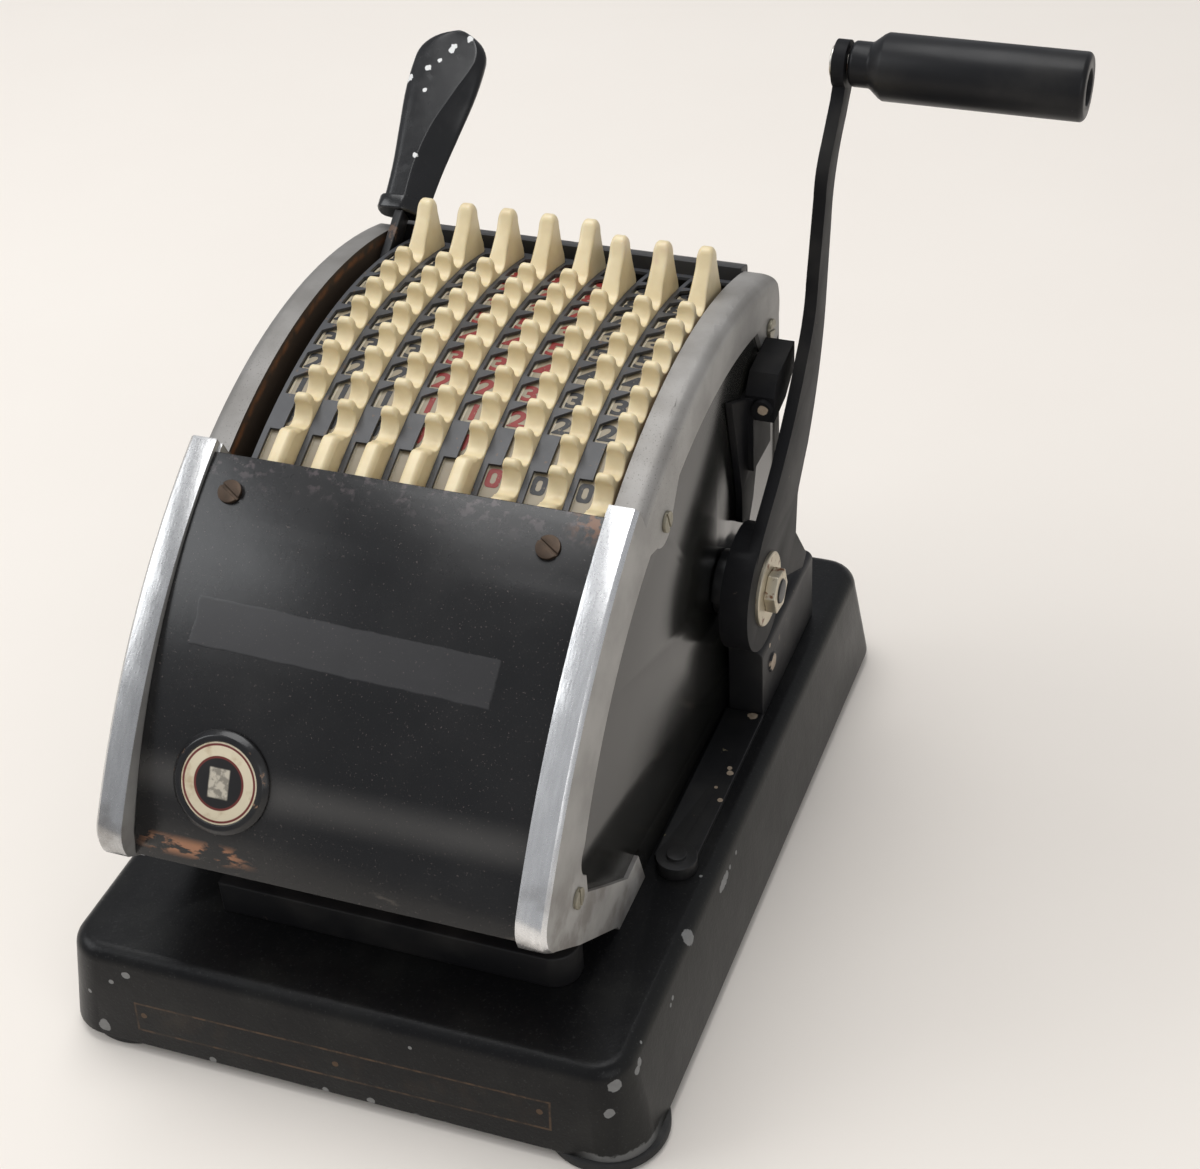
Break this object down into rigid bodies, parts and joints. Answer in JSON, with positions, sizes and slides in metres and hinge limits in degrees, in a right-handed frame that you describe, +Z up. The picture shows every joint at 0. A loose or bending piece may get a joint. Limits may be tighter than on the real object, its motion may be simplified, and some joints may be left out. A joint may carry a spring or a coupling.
{
  "type": "cheque writer",
  "caption": "Desk cheque writer: curved head with notched digit racks, a side crank, a clearing lever and a paper throat over a cast base.",
  "frame": {"origin": "middle of the whole machine's box at the bottom of its feet", "axes": "+Z up, the paper throat and the front cover face -Y, the crank is on +X"},
  "size_m": [0.2624, 0.2797, 0.2568],
  "materials": {
    "base_paint": "black satin paint, chipped",
    "head_paint": "bare satin casting, polished cheeks",
    "black_enamel": "gloss black sheet",
    "cover_paint": "black satin paint, worn at the edges",
    "mask_paint": "slate paint, chipped",
    "key_plastic": "aged cream moulding",
    "gear_steel": "stamped",
    "type_metal": "dull",
    "shaft_steel": "turned",
    "dark_steel": "dark, tarnished",
    "arm_steel": "black enamel",
    "nickel": "nickel plate, tarnished",
    "black_grip": "gloss",
    "rubber": "matt",
    "badge_bezel": "dark brown, worn",
    "badge": "plain",
    "platen_rubber": "matt"
  },
  "bodies": {
    "machine": {"badge": "badge", "badge_bezel": "badge_bezel", "base_bottom_plate": "base_paint", "base_casting": "base_paint", "bearing_block": "base_paint", "crank_return_spring": "dark_steel", "foot_screws": "shaft_steel", "front_cover": "cover_paint", "idler_shaft": "shaft_steel", "left_head_frame": "head_paint", "left_side_panel": "black_enamel", "number_masks": "mask_paint", "paper_table": "base_paint", "rack_pivot_shaft": "shaft_steel", "rear_cover": "cover_paint", "rear_cross_bar": "base_paint", "right_head_frame": "head_paint", "right_side_panel": "black_enamel", "rubber_feet": "rubber", "side_channel_cover": "base_paint", "slotted_screws": "dark_steel", "stop_bracket": "base_paint", "throat_plate": "dark_steel", "type_shaft": "shaft_steel"},
    "crank": {"crank_arm": "arm_steel", "crank_shaft": "shaft_steel", "crank_washer": "nickel", "crank_nut": "nickel", "grip_spindle": "nickel"},
    "grip": {"crank_grip": "black_grip"},
    "lever": {"clearing_lever": "dark_steel", "clearing_lever_paddle": "black_grip"},
    "platen": {"platen": "platen_rubber"},
    "push_rod": {"platen_push_rod": "shaft_steel"},
    "rocker": {"platen_rocker": "shaft_steel"},
    "rack_1": {"key_rack_1": "key_plastic"},
    "idler_1": {"idler_gear_1": "gear_steel"},
    "wheel_1": {"type_wheel_1": "type_metal"},
    "rack_2": {"key_rack_2": "key_plastic"},
    "idler_2": {"idler_gear_2": "gear_steel"},
    "wheel_2": {"type_wheel_2": "type_metal"},
    "rack_3": {"key_rack_3": "key_plastic"},
    "idler_3": {"idler_gear_3": "gear_steel"},
    "wheel_3": {"type_wheel_3": "type_metal"},
    "rack_4": {"key_rack_4": "key_plastic"},
    "idler_4": {"idler_gear_4": "gear_steel"},
    "wheel_4": {"type_wheel_4": "type_metal"},
    "rack_5": {"key_rack_5": "key_plastic"},
    "idler_5": {"idler_gear_5": "gear_steel"},
    "wheel_5": {"type_wheel_5": "type_metal"},
    "rack_6": {"key_rack_6": "key_plastic"},
    "idler_6": {"idler_gear_6": "gear_steel"},
    "wheel_6": {"type_wheel_6": "type_metal"},
    "rack_7": {"key_rack_7": "key_plastic"},
    "idler_7": {"idler_gear_7": "gear_steel"},
    "wheel_7": {"type_wheel_7": "type_metal"},
    "rack_8": {"key_rack_8": "key_plastic"},
    "idler_8": {"idler_gear_8": "gear_steel"},
    "wheel_8": {"type_wheel_8": "type_metal"}
  },
  "joints": [
    {"name": "rack_1_turn", "type": "hinge", "parent": "machine", "child": "rack_1", "pos_m": [0, 0.03623, 0.0113], "axis": [1, 0, 0], "range_deg": [0, 36.36]},
    {"name": "idler_1_turn", "type": "hinge", "parent": "machine", "child": "idler_1", "pos_m": [0, -0.008, 0.0965], "axis": [1, 0, 0], "range_deg": [0, 102.91]},
    {"name": "wheel_1_turn", "type": "hinge", "parent": "machine", "child": "wheel_1", "pos_m": [0, -0.08247, 0.079], "axis": [1, 0, 0], "range_deg": [-225.05, 0]},
    {"name": "rack_2_turn", "type": "hinge", "parent": "machine", "child": "rack_2", "pos_m": [0, 0.03623, 0.0113], "axis": [1, 0, 0], "range_deg": [0, 36.36]},
    {"name": "idler_2_turn", "type": "hinge", "parent": "machine", "child": "idler_2", "pos_m": [0, -0.008, 0.0965], "axis": [1, 0, 0], "range_deg": [0, 102.91]},
    {"name": "wheel_2_turn", "type": "hinge", "parent": "machine", "child": "wheel_2", "pos_m": [0, -0.08247, 0.079], "axis": [1, 0, 0], "range_deg": [-225.05, 0]},
    {"name": "rack_3_turn", "type": "hinge", "parent": "machine", "child": "rack_3", "pos_m": [0, 0.03623, 0.0113], "axis": [1, 0, 0], "range_deg": [0, 36.36]},
    {"name": "idler_3_turn", "type": "hinge", "parent": "machine", "child": "idler_3", "pos_m": [0, -0.008, 0.0965], "axis": [1, 0, 0], "range_deg": [0, 102.91]},
    {"name": "wheel_3_turn", "type": "hinge", "parent": "machine", "child": "wheel_3", "pos_m": [0, -0.08247, 0.079], "axis": [1, 0, 0], "range_deg": [-225.05, 0]},
    {"name": "rack_4_turn", "type": "hinge", "parent": "machine", "child": "rack_4", "pos_m": [0, 0.03623, 0.0113], "axis": [1, 0, 0], "range_deg": [0, 36.36]},
    {"name": "idler_4_turn", "type": "hinge", "parent": "machine", "child": "idler_4", "pos_m": [0, -0.008, 0.0965], "axis": [1, 0, 0], "range_deg": [0, 102.91]},
    {"name": "wheel_4_turn", "type": "hinge", "parent": "machine", "child": "wheel_4", "pos_m": [0, -0.08247, 0.079], "axis": [1, 0, 0], "range_deg": [-225.05, 0]},
    {"name": "rack_5_turn", "type": "hinge", "parent": "machine", "child": "rack_5", "pos_m": [0, 0.03623, 0.0113], "axis": [1, 0, 0], "range_deg": [0, 36.36]},
    {"name": "idler_5_turn", "type": "hinge", "parent": "machine", "child": "idler_5", "pos_m": [0, -0.008, 0.0965], "axis": [1, 0, 0], "range_deg": [0, 102.91]},
    {"name": "wheel_5_turn", "type": "hinge", "parent": "machine", "child": "wheel_5", "pos_m": [0, -0.08247, 0.079], "axis": [1, 0, 0], "range_deg": [-225.05, 0]},
    {"name": "rack_6_turn", "type": "hinge", "parent": "machine", "child": "rack_6", "pos_m": [0, 0.03623, 0.0113], "axis": [1, 0, 0], "range_deg": [-3.64, 32.73]},
    {"name": "idler_6_turn", "type": "hinge", "parent": "machine", "child": "idler_6", "pos_m": [0, -0.008, 0.0965], "axis": [1, 0, 0], "range_deg": [-10.34, 92.62]},
    {"name": "wheel_6_turn", "type": "hinge", "parent": "machine", "child": "wheel_6", "pos_m": [0, -0.08247, 0.079], "axis": [1, 0, 0], "range_deg": [-202.55, 22.55]},
    {"name": "rack_7_turn", "type": "hinge", "parent": "machine", "child": "rack_7", "pos_m": [0, 0.03623, 0.0113], "axis": [1, 0, 0], "range_deg": [-3.64, 32.73]},
    {"name": "idler_7_turn", "type": "hinge", "parent": "machine", "child": "idler_7", "pos_m": [0, -0.008, 0.0965], "axis": [1, 0, 0], "range_deg": [-10.34, 92.62]},
    {"name": "wheel_7_turn", "type": "hinge", "parent": "machine", "child": "wheel_7", "pos_m": [0, -0.08247, 0.079], "axis": [1, 0, 0], "range_deg": [-202.55, 22.55]},
    {"name": "rack_8_turn", "type": "hinge", "parent": "machine", "child": "rack_8", "pos_m": [0, 0.03623, 0.0113], "axis": [1, 0, 0], "range_deg": [-3.64, 32.73]},
    {"name": "idler_8_turn", "type": "hinge", "parent": "machine", "child": "idler_8", "pos_m": [0, -0.008, 0.0965], "axis": [1, 0, 0], "range_deg": [-10.34, 92.62]},
    {"name": "wheel_8_turn", "type": "hinge", "parent": "machine", "child": "wheel_8", "pos_m": [0, -0.08247, 0.079], "axis": [1, 0, 0], "range_deg": [-202.55, 22.55]},
    {"name": "crank_pull", "type": "hinge", "parent": "machine", "child": "crank", "pos_m": [0, 0.03103, 0.093], "axis": [1, 0, 0], "range_deg": [0, 75], "stiffness_Nm_per_rad": 1.2, "springref_deg": -51.57},
    {"name": "grip_spin", "type": "hinge", "parent": "crank", "child": "grip", "pos_m": [0, 0.09343, 0.2467], "axis": [1, 0, 0], "continuous": true},
    {"name": "lever_pull", "type": "hinge", "parent": "machine", "child": "lever", "pos_m": [0, 0.03623, 0.0113], "axis": [1, 0, 0], "range_deg": [0, 30], "stiffness_Nm_per_rad": 0.35, "springref_deg": -34.38},
    {"name": "push_rod_slide", "type": "slide", "parent": "machine", "child": "push_rod", "axis": [0, 0, -1], "range_m": [0, 0.00221]},
    {"name": "rocker_turn", "type": "hinge", "parent": "machine", "child": "rocker", "pos_m": [0, -0.04647, 0.018], "axis": [-1, 0, 0], "range_deg": [0, 1.63]},
    {"name": "platen_lift", "type": "slide", "parent": "machine", "child": "platen", "axis": [0, 0, 1], "range_m": [0, 0.00101]}
  ],
  "couplings": [
    {"joint": "idler_1_turn", "follows": "rack_1_turn", "ratio": 2.8286},
    {"joint": "wheel_1_turn", "follows": "rack_1_turn", "ratio": -6.1875},
    {"joint": "idler_2_turn", "follows": "rack_2_turn", "ratio": 2.8286},
    {"joint": "wheel_2_turn", "follows": "rack_2_turn", "ratio": -6.1875},
    {"joint": "idler_3_turn", "follows": "rack_3_turn", "ratio": 2.8286},
    {"joint": "wheel_3_turn", "follows": "rack_3_turn", "ratio": -6.1875},
    {"joint": "idler_4_turn", "follows": "rack_4_turn", "ratio": 2.8286},
    {"joint": "wheel_4_turn", "follows": "rack_4_turn", "ratio": -6.1875},
    {"joint": "idler_5_turn", "follows": "rack_5_turn", "ratio": 2.8286},
    {"joint": "wheel_5_turn", "follows": "rack_5_turn", "ratio": -6.1875},
    {"joint": "idler_6_turn", "follows": "rack_6_turn", "ratio": 2.8286},
    {"joint": "wheel_6_turn", "follows": "rack_6_turn", "ratio": -6.1875},
    {"joint": "idler_7_turn", "follows": "rack_7_turn", "ratio": 2.8286},
    {"joint": "wheel_7_turn", "follows": "rack_7_turn", "ratio": -6.1875},
    {"joint": "idler_8_turn", "follows": "rack_8_turn", "ratio": 2.8286},
    {"joint": "wheel_8_turn", "follows": "rack_8_turn", "ratio": -6.1875},
    {"joint": "push_rod_slide", "follows": "crank_pull", "m_per_rad": 0.0016807},
    {"joint": "rocker_turn", "follows": "crank_pull", "ratio": 0.021687},
    {"joint": "platen_lift", "follows": "crank_pull", "m_per_rad": 0.00076394}
  ]
}
